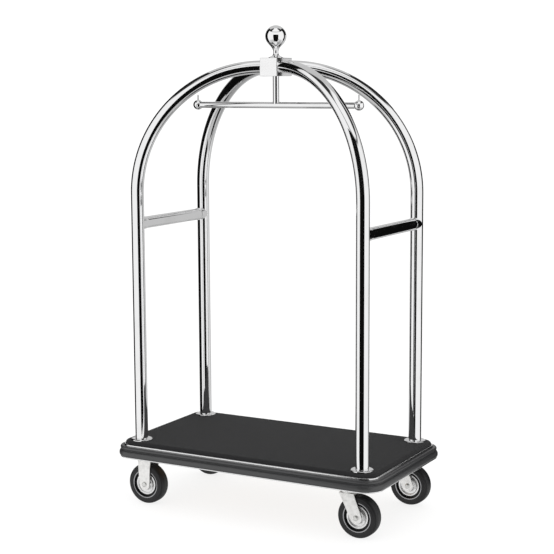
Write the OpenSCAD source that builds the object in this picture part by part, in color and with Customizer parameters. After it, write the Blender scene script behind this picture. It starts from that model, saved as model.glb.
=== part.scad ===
// Hotel luggage cart: a carpeted deck on four casters, four bent posts that meet
// in a crown block, a hanging bar under the crown and a ball finial on top.
// Origin: floor level, under the centre of the deck. +X along the cart towards
// the swivel casters, -Y is the front, +Z up.

/* [Deck] */
// Length of the carpeted deck, without the bumper
deck_x = 1112; // [900:2:1320]
// Width of the carpeted deck, without the bumper
deck_y = 594; // [490:2:720]
// Corner radius of the carpeted deck
deck_corner_r = 50; // [40:1:70]
// Thickness of the carpet
carpet_t = 6; // [4:0.5:9]
// Radius with which the carpet rolls over the board's edge
carpet_roll_r = 13; // [10:0.5:16]
// Thickness of the plywood board
board_t = 18; // [15:0.5:22]
// Height of the steel frame under the board
frame_h = 38; // [32:1:46]
// Depth of the frame channel's flanges
frame_flange = 24; // [20:1:26]
// Wall of the frame channel and the crossmembers
frame_wall = 3; // [2:0.5:4]
// Width of the middle crossmember
middle_member_w = 60; // [40:5:100]

/* [Bumper] */
// How far the bumper stands out from the carpet's edge
bumper_out = 26; // [22:1:34]
// How far the bumper's upper lip stays behind the lower band
bumper_lip_back = 5; // [3:0.5:8]
// Height of the upper lip
bumper_lip_h = 14; // [11:0.5:16]
// Height of the steel trim on top of the bumper
trim_h = 7; // [5:0.5:9]
// Width of the steel trim on top of the bumper
trim_w = 6; // [4:0.5:8]
// Thickness of the steel strip under the bumper
strip_t = 4; // [2:0.5:5]

/* [Posts] */
// Outside diameter of the posts
post_d = 50.8; // [42:0.2:56]
// Wall of the posts and rails
post_wall = 1.5; // [1:0.1:3]
// Distance from the deck's end to a post's centre
post_inset_x = 66; // [52:1:80]
// Distance from the deck's side to a post's centre
post_inset_y = 53; // [48:1:70]
// Height of the posts' centre line at the crown, above the carpet
crown_rise = 1478; // [1230:2:1775]
// Straight length of a post between its bend and the crown block
post_stub = 10; // [2:1:40]
// Diameter of the polished flange at a post's foot
flange_d = 85; // [75:1:95]
// Height of the flange above the carpet
flange_rise = 6; // [3:0.5:10]
// Length of the threaded plug in a post's foot
foot_plug_len = 30; // [20:1:50]
// Diameter of the bolt in a post's foot
post_bolt_d = 12; // [8:1:14]

/* [Side rails] */
// Height of the rails' centre line above the carpet
rail_rise = 871; // [720:1:950]
// Outside diameter of the rails
rail_d = 47; // [38:0.5:47.5]
// Length of the collar at each end of a rail
collar_len = 20; // [10:1:30]
// Thickness of the collar
collar_t = 1.5; // [1:0.1:2.2]

/* [Crown] */
// Length of the crown block along the cart
hub_x = 76; // [70:1:92]
// Width of the crown block across the cart
hub_y = 122; // [120:1:146]
// Height of the crown block
hub_z = 71; // [62:1:85]
// How far a post goes into the crown block
hub_socket = 13; // [11:0.5:14]
// Distance from the middle of the block to a post's entry
hub_entry_y = 30.5; // [30:0.5:32]
// Diameter of the finial's ball
ball_d = 83; // [69:1:100]
// Height of the finial's neck from the block to the ball's rim
neck_h = 50; // [40:1:60]
// Diameter of the neck's foot
neck_foot_d = 57; // [48:1:68]
// Diameter of the neck's waist
neck_waist_d = 20; // [18:0.5:27]

/* [Hanging bar] */
// Drop from the crown's centre line to the bar's centre line
bar_drop = 146; // [120:1:170]
// Distance between the centres of the bar's end balls
bar_span = 712; // [590:2:760]
// Diameter of the bar and of its drop rod
bar_d = 25.4; // [21:0.2:30]
// Diameter of the end balls
end_ball_d = 40; // [34:1:48]
// Diameter of the pin on each end ball
pin_d = 6.5; // [5:0.5:8]
// Height of the pin above the end ball
pin_rise = 20; // [10:1:30]

/* [Casters] */
// Wheel diameter
wheel_d = 163; // [132:1:194]
// Wheel width
wheel_w = 53; // [44:1:58]
// Distance from the deck's left end to the fixed casters' axle
fixed_inset = 91; // [80:1:110]
// Distance from the deck's right end to the king pins
swivel_inset = 119; // [110:1:140]
// Distance from the deck's side to the middle of a wheel
caster_inset_y = 60; // [58:1:75]
// Offset of a swivel caster's axle from its king pin
trail = 40; // [33:1:48]
// Diameter of the axles
axle_d = 12; // [10:1:14]
// Gap between a wheel's top and its fork's crown
wheel_clear = 4; // [4:1:30]
// Gap between a wheel and a fork leg
leg_gap = 2.5; // [2:0.5:6]
// Thickness of a fork leg
leg_t = 4; // [3:0.5:5]
// Diameter of the king pins
king_pin_d = 16; // [12:1:18]

/* [Hidden] */
$fn = 64;
fit = 0.1;            // clearance of a part that is pushed in
run = 0.05;           // radial clearance of a part that turns

// levels, from the floor up
axle_z = wheel_d / 2;
crown_t = 5;          // a swivel fork's crown plate
crown_boss_h = 5;     // its lower race
race_gap = 7;
race_boss_h = 9;      // the upper race
plate_t = 5;
crown_low_z = wheel_d + wheel_clear;
crown_top_z = crown_low_z + crown_t + crown_boss_h;
plate_low_z = crown_top_z + race_gap + race_boss_h;
frame_low_z = plate_low_z + plate_t;
frame_top_z = frame_low_z + frame_h;
bumper_top_z = frame_top_z + 3;
board_top_z = frame_top_z + board_t;
deck_top_z = board_top_z + carpet_t;
crown_z = deck_top_z + crown_rise;
rail_z = deck_top_z + rail_rise;
bar_z = crown_z - bar_drop;
hub_top_z = crown_z + hub_z / 2;
hub_low_z = crown_z - hub_z / 2;

// plan positions
post_x = deck_x / 2 - post_inset_x;
post_y = deck_y / 2 - post_inset_y;
fixed_x = -deck_x / 2 + fixed_inset;
king_x = deck_x / 2 - swivel_inset;
caster_y = deck_y / 2 - caster_inset_y;
frame_in = 2;         // how far the frame lies inside the carpet's outline
board_in = carpet_t;  // the carpet wraps round the board
member_x = deck_x / 2 - frame_in - frame_flange - 3;

// posts
run_len = norm([post_x - hub_x / 2, post_y - hub_entry_y]);
bend_r = run_len - post_stub;
tube_in_d = post_d - 2 * post_wall;
plug_d = tube_in_d - 2 * fit;
flange_seat_d = flange_d + 1;

// finial
ball_r = ball_d / 2;
cup_r = ball_r * 0.63;
cup_rim_t = 0.8;      // land around the cup that holds the ball
ball_z = hub_top_z + neck_h + sqrt(ball_r * ball_r - cup_r * cup_r);
neck_foot_t = 2;
waist_share = 0.42;   // how far up the neck its waist lies
stud_d = 10;
stud_sink = 16;

// casters
plate_x = 96;
plate_y = 74;
bolt_dx = 38;
bolt_dy = 26;
caster_bolt_d = 8;
bolt_hole_d = caster_bolt_d + 0.6;
leg_in = wheel_w / 2 + leg_gap;
leg_out = leg_in + leg_t;
leg_end_r = 23;
leg_top_half = 30;
race_ball_d = 8;
race_r = 24;
race_boss_r = 32;
balls_per_race = 16;
pin_head_t = 6;

// wheel
tyre_t = 24;          // a tyre's radial thickness
tyre_in_r = wheel_d / 2 - tyre_t;
bearing_r = 16;
sleeve_r = axle_d / 2 + 3.5;

LEFT = -1;
RIGHT = 1;
FRONT = -1;
REAR = 1;

// ---- shared shapes ----

// rectangle with round corners, inset from the deck's outline
module deck_outline(inset) {
    r = deck_corner_r - inset;
    x = deck_x / 2 - inset - r;
    y = deck_y / 2 - inset - r;
    square([2 * x + 2 * r, 2 * y], center = true);
    square([2 * x, 2 * y + 2 * r], center = true);
    for (sx = [-1, 1], sy = [-1, 1])
        translate([sx * x, sy * y]) circle(r);
}

// sweeps a profile round the deck's outline: the profile's x is the distance
// outwards from the outline, and its y is the height
module round_the_deck() {
    x = deck_x / 2 - deck_corner_r;
    y = deck_y / 2 - deck_corner_r;
    for (turn = [0, 180]) rotate(turn) {
        translate([-x, deck_y / 2, 0])
            rotate([90, 0, 90]) linear_extrude(2 * x) children();
        translate([deck_x / 2, y, 0])
            rotate([90, 0, 0]) linear_extrude(2 * y) children();
        translate([x, y, 0])
            rotate_extrude(angle = 90) translate([deck_corner_r, 0]) children();
        translate([x, -y, 0]) rotate(-90)
            rotate_extrude(angle = 90) translate([deck_corner_r, 0]) children();
    }
}

// slab with the deck's outline and a round upper edge
module rolled_slab(inset, low_z, top_z, roll_r) {
    translate([0, 0, low_z]) linear_extrude(top_z - low_z) deck_outline(inset + roll_r);
    round_the_deck() {
        translate([-inset - roll_r, low_z]) square([roll_r, top_z - roll_r - low_z]);
        intersection() {
            translate([-inset - roll_r, top_z - roll_r]) circle(roll_r);
            translate([-inset - roll_r, top_z - roll_r]) square(roll_r);
        }
    }
}

// bar section whose outer corners are round, from x = in_x to out_x
module lip(in_x, out_x, low_z, top_z, r) {
    translate([in_x, low_z]) square([out_x - r - in_x, top_z - low_z]);
    translate([out_x - 2 * r, low_z + r]) square([2 * r, top_z - low_z - 2 * r]);
    for (z = [low_z + r, top_z - r]) translate([out_x - r, z]) circle(r);
}

module at_posts() {
    for (sx = [LEFT, RIGHT], sy = [FRONT, REAR])
        translate([sx * post_x, sy * post_y, 0]) children();
}

// turns local +X towards a post's entry in the crown block
module towards_crown(sx, sy) {
    translate([sx * post_x, sy * post_y, 0])
        rotate(atan2(sy * (hub_entry_y - post_y), sx * (hub_x / 2 - post_x))) children();
}

module hexagon(across, h) {
    cylinder(h = h, r = across / sqrt(3), $fn = 6);
}

// two lines from the corners (half-width, top_z) that touch a circle, and the circle
function touch_angle(from, r, side) =
    atan2(from[1], from[0]) + side * acos(r / norm(from));

module leg_outline(lean, top_z, half_w, end_r) {
    corners = [[-lean - half_w, top_z - axle_z], [-lean + half_w, top_z - axle_z]];
    left_a = touch_angle(corners[0], end_r, 1);
    right_a = touch_angle(corners[1], end_r, -1);
    circle(end_r);
    polygon([
        corners[0], corners[1],
        end_r * [cos(right_a), sin(right_a)],
        [0, 0],
        end_r * [cos(left_a), sin(left_a)]
    ]);
}

// pair of fork legs with axle holes, origin on the axle under the wheel's middle
module fork_legs(lean, top_z) {
    for (side = [-1, 1])
        translate([0, side > 0 ? leg_out : -leg_in, axle_z]) rotate([90, 0, 0])
            linear_extrude(leg_t) difference() {
                leg_outline(lean, top_z, leg_top_half, leg_end_r);
                circle(axle_d / 2 + fit);
            }
}

module plate_blank(hole_ds = bolt_hole_d) {
    translate([0, 0, plate_low_z]) linear_extrude(plate_t) difference() {
        square([plate_x, plate_y], center = true);
        for (sx = [-1, 1], sy = [-1, 1])
            translate([sx * bolt_dx, sy * bolt_dy]) circle(d = hole_ds);
    }
}

module at_casters() {
    for (sy = [FRONT, REAR]) {
        translate([fixed_x, sy * caster_y, 0]) children();
        translate([king_x, sy * caster_y, 0]) children();
    }
}

module at_caster_bolts() {
    at_casters() for (sx = [-1, 1], sy = [-1, 1])
        translate([sx * bolt_dx, sy * bolt_dy, 0]) children();
}

// ---- deck ----

screw_d = 4;
screw_sink = 12;
screw_head_d = 8;
screw_head_t = 3;
screw_pitch = deck_x / 5.5;

module at_deck_screws() {
    for (i = [-2:2], sy = [FRONT, REAR])
        translate([i * screw_pitch, sy * (deck_y / 2 - frame_in - frame_flange / 2), 0])
            children();
}

module deck_board() {
    color("burlywood") difference() {
        rolled_slab(board_in, frame_top_z, board_top_z, carpet_roll_r - carpet_t);
        at_posts() translate([0, 0, frame_top_z - 1])
            cylinder(h = board_t + 2, d = post_bolt_d + 2 * fit);
        at_deck_screws() translate([0, 0, frame_top_z - 1])
            cylinder(h = screw_sink + 1 + fit, d = screw_d + 2 * fit);
    }
}

module deck_carpet() {
    color("dimgray") difference() {
        rolled_slab(0, bumper_top_z, deck_top_z, carpet_roll_r);
        rolled_slab(board_in, frame_top_z - 1, board_top_z, carpet_roll_r - carpet_t);
        at_posts() translate([0, 0, bumper_top_z - 1])
            cylinder(h = 2 * board_t, d = flange_seat_d);
    }
}

module frame_channel() {
    difference() {
        translate([-frame_in - frame_flange, frame_low_z]) square([frame_flange, frame_h]);
        translate([-frame_in - frame_flange - 1, frame_low_z + frame_wall])
            square([frame_flange + 1 - frame_wall, frame_h - 2 * frame_wall]);
    }
}

module deck_frame() {
    color("slategray") difference() {
        round_the_deck() frame_channel();
        at_deck_screws() translate([0, 0, frame_top_z - frame_wall - 1])
            cylinder(h = frame_wall + 2, d = screw_d + 2 * fit);
    }
}

// upward-open channel, a little longer than the space between the frame's sides
module crossmember(low_x, high_x) {
    w = high_x - low_x;
    len = deck_y - 2 * frame_in - frame_flange;
    translate([low_x, -len / 2, frame_low_z]) difference() {
        cube([w, len, frame_h]);
        translate([frame_wall, -1, frame_wall]) cube([w - 2 * frame_wall, len + 2, frame_h]);
    }
}

access_d = 26;

module deck_crossmembers() {
    color("slategray") difference() {
        intersection() {
            union() {
                crossmember(-member_x, fixed_x + plate_x / 2 + 6);
                crossmember(-middle_member_w / 2, middle_member_w / 2);
                crossmember(king_x - plate_x / 2 - 6, member_x);
            }
            translate([0, 0, frame_low_z - 1]) linear_extrude(frame_h + 2)
                deck_outline(frame_in + frame_flange);
        }
        at_caster_bolts() translate([0, 0, frame_low_z - 1])
            cylinder(h = frame_wall + 2, d = bolt_hole_d);
        at_posts() translate([0, 0, frame_low_z - 1])
            cylinder(h = frame_wall + 2, d = access_d);
    }
}

module deck_screws() {
    color("silver") at_deck_screws() {
        translate([0, 0, frame_top_z - frame_wall - screw_head_t])
            cylinder(h = screw_head_t, d = screw_head_d);
        translate([0, 0, frame_top_z - frame_wall - screw_head_t])
            cylinder(h = screw_head_t + frame_wall + screw_sink, d = screw_d);
    }
}

// ---- edge of the deck ----

bumper_mid_z = bumper_top_z - bumper_lip_h;
bead_r = 1.5;

module bumper_section() {
    lip(-frame_in, bumper_out - bumper_lip_back, bumper_mid_z + 1, bumper_top_z, 5);
    lip(-frame_in, bumper_out, frame_low_z, bumper_mid_z - 1, 11);
    translate([-frame_in, bumper_mid_z - 2])
        square([bumper_out - bumper_lip_back - 2.5 + frame_in, 4]);
    translate([bumper_out - bumper_lip_back - 2.5, bumper_mid_z]) circle(bead_r);
}

module bumper() {
    color("#505254") difference() {
        round_the_deck() bumper_section();
        translate([0, 0, frame_top_z]) linear_extrude(board_t) deck_outline(frame_in);
    }
}

module edge_trim_top() {
    r = 2.5;
    color("gainsboro") round_the_deck() {
        translate([0, bumper_top_z]) square([trim_w, trim_h - r]);
        translate([0, bumper_top_z]) square([trim_w - r, trim_h]);
        translate([trim_w - r, bumper_top_z + trim_h - r]) circle(r);
    }
}

module edge_trim_bottom() {
    color("gainsboro") round_the_deck()
        translate([2, frame_low_z - strip_t]) square([bumper_out - 6, strip_t]);
}

// ---- posts ----

// sweeps a section along a post's line, from foot_z up to over past the post's end
module along_post(sx, sy, foot_z, over = 0) {
    towards_crown(sx, sy) {
        translate([0, 0, foot_z]) linear_extrude(crown_z - bend_r - foot_z) children();
        translate([bend_r, 0, crown_z - bend_r]) rotate([90, 0, 0]) rotate(90)
            rotate_extrude(angle = 90) translate([bend_r, 0]) children();
        translate([bend_r, 0, crown_z]) rotate([0, 90, 0])
            linear_extrude(post_stub + hub_socket + over) children();
    }
}

module post(sx, sy) {
    color("gainsboro") along_post(sx, sy, board_top_z) difference() {
        circle(d = post_d);
        circle(d = tube_in_d);
    }
}

module post_flange(sx, sy) {
    rim_t = carpet_t + 1.5;
    dome_r = post_d / 2 + 5;
    dome_h = flange_rise - 1.5;
    steps = 12;
    color("gainsboro") translate([sx * post_x, sy * post_y, board_top_z]) difference() {
        rotate_extrude() polygon(concat(
            [[0, 0], [flange_d / 2, 0]],
            [for (i = [0:steps]) let (a = 90 * i / steps)
                [dome_r + (flange_d / 2 - dome_r) * cos(a), rim_t + dome_h * sin(a)]],
            [[0, rim_t + dome_h]]
        ));
        translate([0, 0, -1])
            cylinder(h = rim_t + dome_h + 2, d = post_d + 2 * fit);
    }
}

module post_foot_plugs() {
    color("darkgray") at_posts() translate([0, 0, board_top_z]) difference() {
        cylinder(h = foot_plug_len, d = plug_d);
        translate([0, 0, -1])
            cylinder(h = foot_plug_len + 2, d = post_bolt_d + 2 * fit);
    }
}

washer_t = 2.5;
washer_d = 28;
post_head_t = 7.5;
post_head_across = 19;

module post_washers() {
    color("silver") at_posts() translate([0, 0, frame_top_z - washer_t]) difference() {
        cylinder(h = washer_t, d = washer_d);
        translate([0, 0, -1]) cylinder(h = washer_t + 2, d = post_bolt_d + 2 * fit);
    }
}

module post_bolts() {
    head_top_z = frame_top_z - washer_t;
    color("silver") at_posts() translate([0, 0, head_top_z]) {
        translate([0, 0, -post_head_t]) hexagon(post_head_across, post_head_t);
        cylinder(h = washer_t + board_t + foot_plug_len - 4, d = post_bolt_d);
    }
}

// ---- side rails ----

rail_len = 2 * post_y;

module rail_solid(sx, d, over = 0) {
    translate([sx * post_x, post_y + over, rail_z]) rotate([90, 0, 0])
        cylinder(h = rail_len + 2 * over, d = d);
}

module cope_for_posts(sx) {
    for (sy = [FRONT, REAR]) translate([sx * post_x, sy * post_y, rail_z - post_d])
        cylinder(h = 2 * post_d, d = post_d);
}

module side_rail(sx) {
    color("gainsboro") difference() {
        rail_solid(sx, rail_d);
        rail_solid(sx, rail_d - 2 * post_wall, 1);
        cope_for_posts(sx);
    }
}

module side_rail_collars() {
    $fn = 160;
    color("gainsboro") for (sx = [LEFT, RIGHT], sy = [FRONT, REAR]) difference() {
        translate([sx * post_x, sy * post_y, rail_z]) rotate([sy * 90, 0, 0])
            rotate_extrude() translate([rail_d / 2 + fit, 0])
                square([collar_t - fit, post_d / 2 + collar_len]);
        cope_for_posts(sx);
    }
}

// ---- crown ----

grub_d = 8;
grub_len = 10;
rod_socket = 20;

module grub_place(sx, sy) {
    towards_crown(sx, sy) translate([bend_r + post_stub + hub_socket - 6, 0, hub_low_z])
        children();
}

module crown_hub() {
    color("whitesmoke") difference() {
        translate([0, 0, crown_z]) cube([hub_x, hub_y, hub_z], center = true);
        for (sx = [LEFT, RIGHT], sy = [FRONT, REAR]) {
            along_post(sx, sy, rail_z, fit) circle(d = post_d + 2 * fit);
            grub_place(sx, sy) translate([0, 0, -1])
                cylinder(h = (hub_z - post_d) / 2 + 2, d = grub_d + 2 * fit);
        }
        translate([0, 0, hub_low_z - 1]) cylinder(h = rod_socket + 1, d = bar_d + 2 * fit);
        translate([0, 0, hub_top_z - stud_sink]) cylinder(h = stud_sink + 1, d = stud_d + 2 * fit);
    }
}

module crown_grub_screws() {
    color("dimgray") for (sx = [LEFT, RIGHT], sy = [FRONT, REAR])
        grub_place(sx, sy) difference() {
            translate([0, 0, (hub_z - post_d) / 2 - grub_len])
                cylinder(h = grub_len, d = grub_d);
            translate([0, 0, (hub_z - post_d) / 2 - grub_len - 1]) hexagon(4, 5);
        }
}

function neck_r(t) =
    let (waist_r = neck_waist_d / 2)
    t < waist_share
        ? waist_r + (neck_foot_d / 2 - waist_r) * pow(1 - t / waist_share, 3.2)
        : waist_r + (cup_r + cup_rim_t - waist_r) * pow((t - waist_share) / (1 - waist_share), 1.9);

module finial_neck() {
    steps = 32;
    color("gainsboro") translate([0, 0, hub_top_z]) difference() {
        rotate_extrude() polygon(concat(
            [[stud_d / 2 + fit, 0], [neck_foot_d / 2, 0]],
            [for (i = [0:steps]) let (t = i / steps)
                [neck_r(t), neck_foot_t + (neck_h - neck_foot_t) * t]],
            [[stud_d / 2 + fit, neck_h]]
        ));
        translate([0, 0, ball_z - hub_top_z]) sphere(d = ball_d);
    }
}

stud_top_z = ball_z - ball_r / 3;

module finial_ball() {
    color("gainsboro") difference() {
        translate([0, 0, ball_z]) sphere(d = ball_d);
        translate([0, 0, hub_top_z])
            cylinder(h = stud_top_z - hub_top_z + fit, d = stud_d + 2 * fit);
    }
}

module finial_stud() {
    low_z = hub_top_z - stud_sink;
    color("silver") translate([0, 0, low_z]) cylinder(h = stud_top_z - low_z, d = stud_d);
}

// ---- hanging bar ----

module bar_solid(d) {
    translate([-bar_span / 2, 0, bar_z]) rotate([0, 90, 0]) cylinder(h = bar_span, d = d);
}

module drop_rod() {
    color("gainsboro") difference() {
        translate([0, 0, bar_z]) cylinder(h = hub_low_z + rod_socket - bar_z, d = bar_d);
        bar_solid(bar_d);
    }
}

module hang_bar() {
    color("gainsboro") bar_solid(bar_d);
}

module hang_bar_end_balls() {
    color("gainsboro") for (sx = [-1, 1]) difference() {
        translate([sx * bar_span / 2, 0, bar_z]) sphere(d = end_ball_d);
        bar_solid(bar_d + 2 * fit);
        translate([sx * bar_span / 2, 0, bar_z + end_ball_d / 2 - 6])
            cylinder(h = 7, d = pin_d + 2 * fit);
    }
}

module hang_bar_pins() {
    head_h = 2;
    color("gainsboro") for (sx = [-1, 1])
        translate([sx * bar_span / 2, 0, bar_z + end_ball_d / 2]) {
            translate([0, 0, -6]) cylinder(h = 6 + pin_rise - head_h, d = pin_d);
            translate([0, 0, pin_rise - head_h]) cylinder(h = head_h, d1 = pin_d, d2 = pin_d - 2);
        }
}

// ---- casters ----

module axle_bolt(head_side) {
    head_d = 20;
    head_t = 5;
    flat_d = 12;
    rotate([head_side * 90, 0, 0]) {
        translate([0, 0, -leg_out - 12]) cylinder(h = 2 * leg_out + 12, d = axle_d);
        translate([0, 0, leg_out]) rotate_extrude() polygon([
            [0, 0], [head_d / 2, 0], [head_d / 2, head_t * 0.5],
            [flat_d / 2 + 2, head_t * 0.85], [flat_d / 2, head_t], [0, head_t]
        ]);
    }
}

module axle_nut() {
    nut_t = 10;
    translate([0, leg_out + nut_t, 0]) rotate([90, 0, 0]) difference() {
        hexagon(18, nut_t);
        translate([0, 0, -1]) cylinder(h = nut_t + 2, d = axle_d + 2 * fit);
    }
}

module fixed_fork(sy) {
    color("whitesmoke") translate([fixed_x, sy * caster_y, 0]) difference() {
        union() {
            plate_blank();
            fork_legs(0, plate_low_z);
        }
        translate([-post_x - fixed_x, sy * (post_y - caster_y), plate_low_z - 1])
            cylinder(h = plate_t + 2, d = access_d);
    }
}

module fixed_axles() {
    color("silver") for (sy = [FRONT, REAR])
        translate([fixed_x, sy * caster_y, axle_z]) axle_bolt(1);
}

module fixed_axle_nuts() {
    color("silver") for (sy = [FRONT, REAR])
        translate([fixed_x, sy * caster_y, axle_z]) axle_nut();
}

module race_groove(z) {
    translate([0, 0, z]) rotate_extrude() translate([race_r, 0])
        circle(d = race_ball_d + 2 * run);
}

race_z = crown_top_z + race_gap / 2;

module swivel_top_plate(sy) {
    skirt_in = race_boss_r + 1.5;
    skirt_low_z = crown_top_z - crown_boss_h + 2;
    color("whitesmoke") translate([king_x, sy * caster_y, 0]) difference() {
        union() {
            plate_blank();
            translate([0, 0, plate_low_z - race_boss_h])
                cylinder(h = race_boss_h, r = race_boss_r + 1);
            translate([0, 0, skirt_low_z])
                linear_extrude(plate_low_z - skirt_low_z) difference() {
                    circle(skirt_in + 2.5);
                    circle(skirt_in);
                }
            translate([0, 0, plate_low_z - race_boss_h])
                cylinder(h = race_boss_h, r = skirt_in + 1);
        }
        translate([0, 0, crown_low_z]) cylinder(h = 60, d = king_pin_d + 2 * fit);
        race_groove(race_z);
    }
}

module swivel_bearing_balls() {
    color("silver") for (sy = [FRONT, REAR]) translate([king_x, sy * caster_y, race_z])
        for (i = [0:balls_per_race - 1]) rotate(360 * i / balls_per_race)
            translate([race_r, 0, 0]) sphere(d = race_ball_d, $fn = 24);
}

module king_pins() {
    head_d = king_pin_d + 10;
    color("silver") for (sy = [FRONT, REAR]) translate([king_x, sy * caster_y, 0]) {
        translate([0, 0, crown_low_z - run - pin_head_t]) cylinder(h = pin_head_t, d = head_d);
        translate([0, 0, crown_low_z - run - pin_head_t])
            cylinder(h = frame_low_z - crown_low_z + run + pin_head_t, d = king_pin_d);
    }
}

module swivel_fork(sy) {
    color("whitesmoke") translate([king_x, sy * caster_y, 0]) difference() {
        union() {
            translate([0, 0, crown_low_z]) linear_extrude(crown_t)
                square([2 * leg_top_half, 2 * leg_out], center = true);
            translate([0, 0, crown_low_z]) cylinder(h = crown_t + crown_boss_h, r = race_boss_r);
            translate([trail, 0, 0]) fork_legs(trail, crown_low_z + crown_t);
        }
        translate([0, 0, crown_low_z - 1])
            cylinder(h = crown_t + crown_boss_h + 2, d = king_pin_d + 2 * run);
        race_groove(race_z);
    }
}

module swivel_axle(sy) {
    color("silver") translate([king_x + trail, sy * caster_y, axle_z]) axle_bolt(1);
}

module swivel_axle_nut(sy) {
    color("silver") translate([king_x + trail, sy * caster_y, axle_z]) axle_nut();
}

module caster_bolts() {
    head_t = 5.3;
    color("silver") at_caster_bolts() {
        translate([0, 0, plate_low_z - head_t]) hexagon(13, head_t);
        translate([0, 0, plate_low_z]) cylinder(h = plate_t + frame_wall + 10, d = caster_bolt_d);
    }
}

module caster_nuts() {
    color("silver") at_caster_bolts() translate([0, 0, frame_low_z + frame_wall]) difference() {
        hexagon(13, 6.5);
        translate([0, 0, -1]) cylinder(h = 9, d = caster_bolt_d + 2 * fit);
    }
}

// ---- wheels ----

module wheel_place(sx, sy) {
    translate([sx == LEFT ? fixed_x : king_x + trail, sy * caster_y, axle_z])
        rotate([90, 0, 0]) children();
}

// half of a flattened ellipse: squarer than a plain one where squareness < 1
module tyre(sx, sy) {
    steps = 28;
    squareness = 0.5;
    depth = wheel_d / 2 - tyre_in_r;
    color("#1c1c1e") wheel_place(sx, sy) rotate_extrude() polygon(
        [for (i = [0:steps]) let (a = -90 + 180 * i / steps, s = sin(a))
            [tyre_in_r + depth * pow(abs(cos(a)), squareness),
             sign(s) * wheel_w / 2 * pow(abs(s), squareness)]]
    );
}

module rim(sx, sy) {
    ring_w = 4;
    groove_w = 9;
    disc_r = tyre_in_r - ring_w - groove_w;
    half = wheel_w / 2;
    web = disc_r - bearing_r;
    side = [
        [bearing_r + fit, half - 4],
        [bearing_r + 0.24 * web, half - 4], [bearing_r + 0.33 * web, half - 9],
        [disc_r - 0.33 * web, half - 11], [disc_r - 0.24 * web, half - 6], [disc_r, half - 7],
        [disc_r, half - 14], [disc_r + groove_w, half - 14],
        [disc_r + groove_w, half - 1], [tyre_in_r - fit, half - 1]
    ];
    color("lightgray") wheel_place(sx, sy) rotate_extrude() polygon(concat(
        side, [for (i = [len(side) - 1:-1:0]) [side[i][0], -side[i][1]]]
    ));
}

module bearing(sx, sy) {
    half = wheel_w / 2 - 4;
    sleeve = leg_in - 0.2;
    bore_r = axle_d / 2 + run;
    color("darkgray") wheel_place(sx, sy) rotate_extrude() polygon([
        [bore_r, -sleeve], [sleeve_r, -sleeve], [sleeve_r, -half], [bearing_r, -half],
        [bearing_r, half], [sleeve_r, half], [sleeve_r, sleeve], [bore_r, sleeve]
    ]);
}

// ---- nodes ----

deck_board();
deck_carpet();
deck_frame();
deck_crossmembers();
deck_screws();
bumper();
edge_trim_top();
edge_trim_bottom();
post(LEFT, FRONT);  // post_front_left
post(LEFT, REAR);  // post_rear_left
post(RIGHT, FRONT);  // post_front_right
post(RIGHT, REAR);  // post_rear_right
post_flange(LEFT, FRONT);  // post_flange_front_left
post_flange(LEFT, REAR);  // post_flange_rear_left
post_flange(RIGHT, FRONT);  // post_flange_front_right
post_flange(RIGHT, REAR);  // post_flange_rear_right
post_foot_plugs();
post_bolts();
post_washers();
side_rail(LEFT);  // side_rail_left
side_rail(RIGHT);  // side_rail_right
side_rail_collars();
crown_hub();
crown_grub_screws();
finial_neck();
finial_ball();
finial_stud();
drop_rod();
hang_bar();
hang_bar_end_balls();
hang_bar_pins();
fixed_fork(FRONT);  // fixed_fork_front
fixed_fork(REAR);  // fixed_fork_rear
fixed_axles();
fixed_axle_nuts();
swivel_top_plate(FRONT);  // swivel_top_plate_front
swivel_top_plate(REAR);  // swivel_top_plate_rear
king_pins();
swivel_bearing_balls();
caster_bolts();
caster_nuts();
swivel_fork(FRONT);  // swivel_fork_front
swivel_axle(FRONT);  // swivel_axle_front
swivel_axle_nut(FRONT);  // swivel_axle_nut_front
swivel_fork(REAR);  // swivel_fork_rear
swivel_axle(REAR);  // swivel_axle_rear
swivel_axle_nut(REAR);  // swivel_axle_nut_rear
tyre(LEFT, FRONT);  // tyre_front_left
rim(LEFT, FRONT);  // rim_front_left
bearing(LEFT, FRONT);  // bearing_front_left
tyre(LEFT, REAR);  // tyre_rear_left
rim(LEFT, REAR);  // rim_rear_left
bearing(LEFT, REAR);  // bearing_rear_left
tyre(RIGHT, FRONT);  // tyre_front_right
rim(RIGHT, FRONT);  // rim_front_right
bearing(RIGHT, FRONT);  // bearing_front_right
tyre(RIGHT, REAR);  // tyre_rear_right
rim(RIGHT, REAR);  // rim_rear_right
bearing(RIGHT, REAR);  // bearing_rear_right
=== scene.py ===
import math

import bmesh
import bpy
from mathutils import Euler, Matrix, Vector


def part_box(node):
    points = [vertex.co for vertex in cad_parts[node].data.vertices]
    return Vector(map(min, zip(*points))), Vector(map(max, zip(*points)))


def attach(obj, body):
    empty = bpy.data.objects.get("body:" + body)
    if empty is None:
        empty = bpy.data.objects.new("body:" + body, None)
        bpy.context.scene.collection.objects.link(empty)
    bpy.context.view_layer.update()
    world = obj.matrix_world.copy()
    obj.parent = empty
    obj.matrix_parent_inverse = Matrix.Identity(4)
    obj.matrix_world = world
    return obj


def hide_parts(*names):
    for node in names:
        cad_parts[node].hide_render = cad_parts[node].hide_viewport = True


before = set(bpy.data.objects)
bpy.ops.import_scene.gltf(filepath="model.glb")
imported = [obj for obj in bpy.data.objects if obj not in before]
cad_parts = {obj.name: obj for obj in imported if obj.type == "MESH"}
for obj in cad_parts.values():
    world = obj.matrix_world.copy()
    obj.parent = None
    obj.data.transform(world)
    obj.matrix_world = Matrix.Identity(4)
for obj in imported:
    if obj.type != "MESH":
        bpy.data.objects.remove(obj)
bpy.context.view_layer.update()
scene = bpy.context.scene
upAxis = Vector((0, 0, 1))
sides = {"left": -1, "right": 1}
rows = {"front": -1, "rear": 1}
mergeGap = 1e-6  # metres within which points are joined


def middle(node):
    low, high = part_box(node)
    return (low + high) / 2


def extent(node):
    low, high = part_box(node)
    return high - low


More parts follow.
